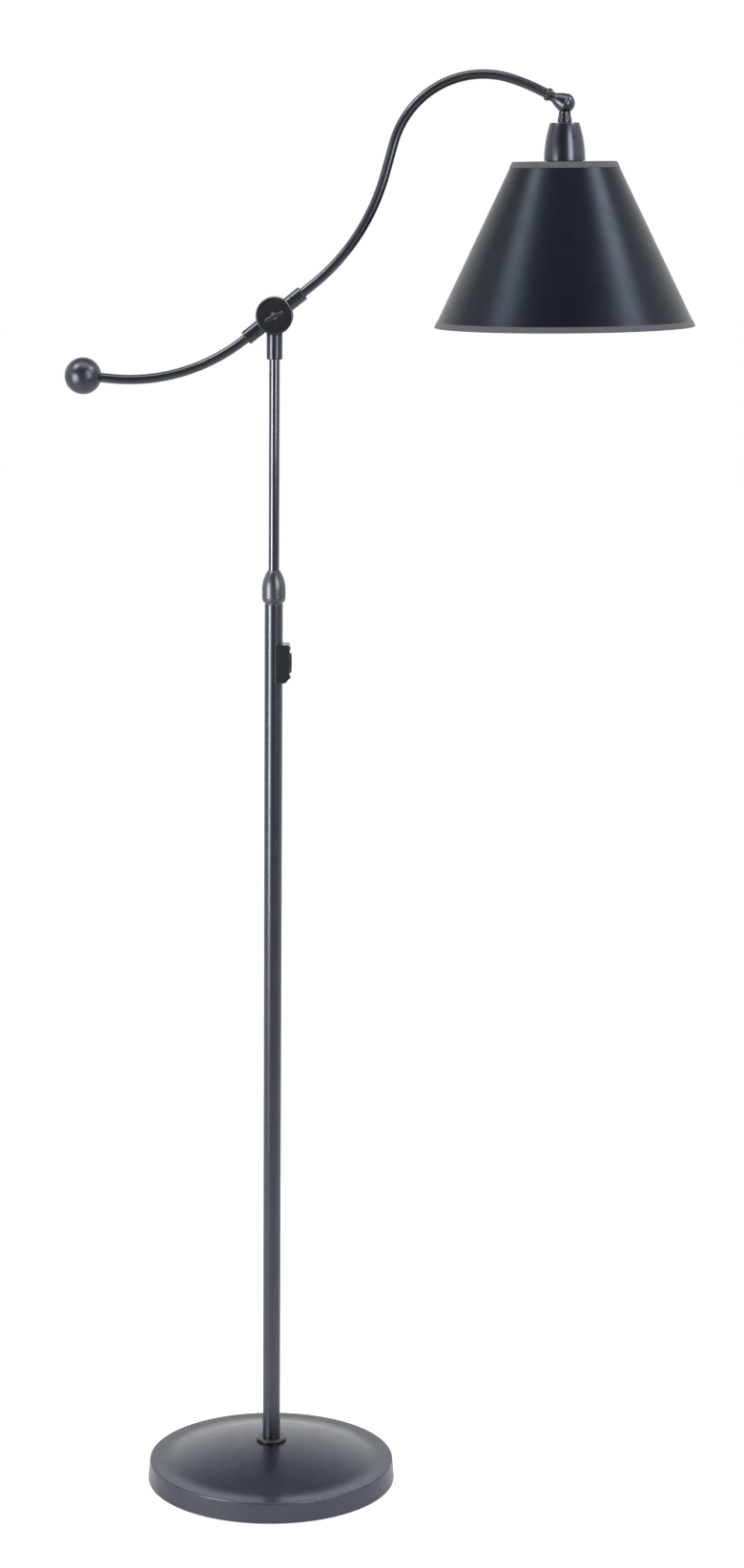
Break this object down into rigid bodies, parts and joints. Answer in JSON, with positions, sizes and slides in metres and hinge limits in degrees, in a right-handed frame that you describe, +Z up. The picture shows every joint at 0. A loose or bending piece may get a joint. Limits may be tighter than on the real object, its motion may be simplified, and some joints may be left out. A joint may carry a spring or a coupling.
{
  "type": "pharmacy floor lamp",
  "caption": "Floor lamp with a round weighted base, telescoping pole, counterweighted S-curve arm and tilting empire shade.",
  "frame": {"origin": "centre of the base's underside, on the floor", "axes": "+Z up along the pole, +X towards the shade end of the arm, -Y towards the knob side of the pivot"},
  "size_m": [0.65, 0.281, 1.5173],
  "materials": {
    "satin_slate": "satin powder coat",
    "black_metal": "satin black",
    "bare_steel": "zinc plated",
    "cast_weight": "rough cast",
    "brass": "bright",
    "pad": "closed-cell foam pad",
    "gland_rubber": "matte",
    "nylon": "natural nylon",
    "black_plastic": "moulded",
    "phenolic": "moulded phenolic",
    "lead_sleeve": "pvc sleeve",
    "friction_fibre": "vulcanised fibre",
    "shade_black": "black parchment hardback",
    "shade_white": "matte white liner",
    "trim_tape": "cotton bias tape",
    "wire_white": "white epoxy",
    "bulb_glass": "soft white frosted",
    "bulb_cap": "threaded cap"
  },
  "bodies": {
    "stand": {"floor_pad": "pad", "base_weight": "cast_weight", "base_cover": "satin_slate", "cord_gland": "gland_rubber", "foot_washer": "black_metal", "pole_nipple": "bare_steel", "nipple_nut": "bare_steel", "nipple_lock_washer": "bare_steel", "pole_foot_plug": "bare_steel", "lower_pole": "satin_slate", "pole_ferrule": "bare_steel", "collet": "nylon", "dimmer_housing": "satin_slate", "dimmer_body": "black_plastic", "dimmer_screws": "black_metal", "pole_lead": "lead_sleeve"},
    "lock_collar": {"lock_collar": "satin_slate"},
    "dial": {"dimmer_dial": "black_plastic"},
    "glide": {"glide_bush": "nylon"},
    "mast": {"upper_rod": "satin_slate", "mast_socket": "satin_slate", "mast_setscrew": "bare_steel", "mast_lead": "lead_sleeve", "pivot_stud": "bare_steel", "friction_washer": "friction_fibre"},
    "arm": {"arm_hub": "satin_slate", "arm_tube": "satin_slate", "counterweight_tube": "satin_slate", "counterweight": "satin_slate", "tube_setscrews": "black_metal", "arm_collar": "satin_slate", "swivel_cone": "satin_slate", "swivel_stud": "bare_steel", "swivel_nut": "bare_steel", "swivel_washer": "bare_steel", "arm_lead": "lead_sleeve", "knob_washer": "black_metal"},
    "knob": {"wing_knob": "satin_slate"},
    "head": {"swivel_ball": "satin_slate", "head_nipple": "bare_steel", "head_locknut": "satin_slate", "socket_cup": "satin_slate", "socket_body": "phenolic", "screw_shell": "brass", "centre_contact": "brass", "socket_ring": "phenolic", "shade_fitter": "satin_slate", "shade_panel": "shade_black", "shade_liner": "shade_white", "top_trim": "trim_tape", "bottom_trim": "trim_tape", "bottom_wire": "wire_white", "bulb_glass": "bulb_glass", "bulb_base": "bulb_cap"}
  },
  "joints": [
    {"name": "collar_twist", "type": "hinge", "parent": "stand", "child": "lock_collar", "pos_m": [0, 0, 0.984], "axis": [0, 0, 1], "range_deg": [0, 180]},
    {"name": "dial_turn", "type": "hinge", "parent": "stand", "child": "dial", "pos_m": [0.0169, 0, 0.9045], "axis": [-1, 0, 0], "range_deg": [0, 290]},
    {"name": "height_slide", "type": "slide", "parent": "stand", "child": "glide", "axis": [0, 0, 1], "range_m": [-0.19, 0.12]},
    {"name": "mast_swivel", "type": "hinge", "parent": "glide", "child": "mast", "pos_m": [0, 0, 0.765], "axis": [0, 0, 1], "range_deg": [-170, 170]},
    {"name": "arm_pivot", "type": "hinge", "parent": "mast", "child": "arm", "pos_m": [0, -0.0088, 1.2671], "axis": [0, 1, 0], "range_deg": [-13, 45]},
    {"name": "knob_turn", "type": "hinge", "parent": "mast", "child": "knob", "pos_m": [0, -0.0215, 1.2671], "axis": [0, -1, 0], "range_deg": [0, 360]},
    {"name": "head_swivel", "type": "hinge", "parent": "arm", "child": "head", "pos_m": [0.29496, -0.0088, 1.48428], "axis": [0.8965, 0, -0.4431], "range_deg": [-90, 90]}
  ]
}
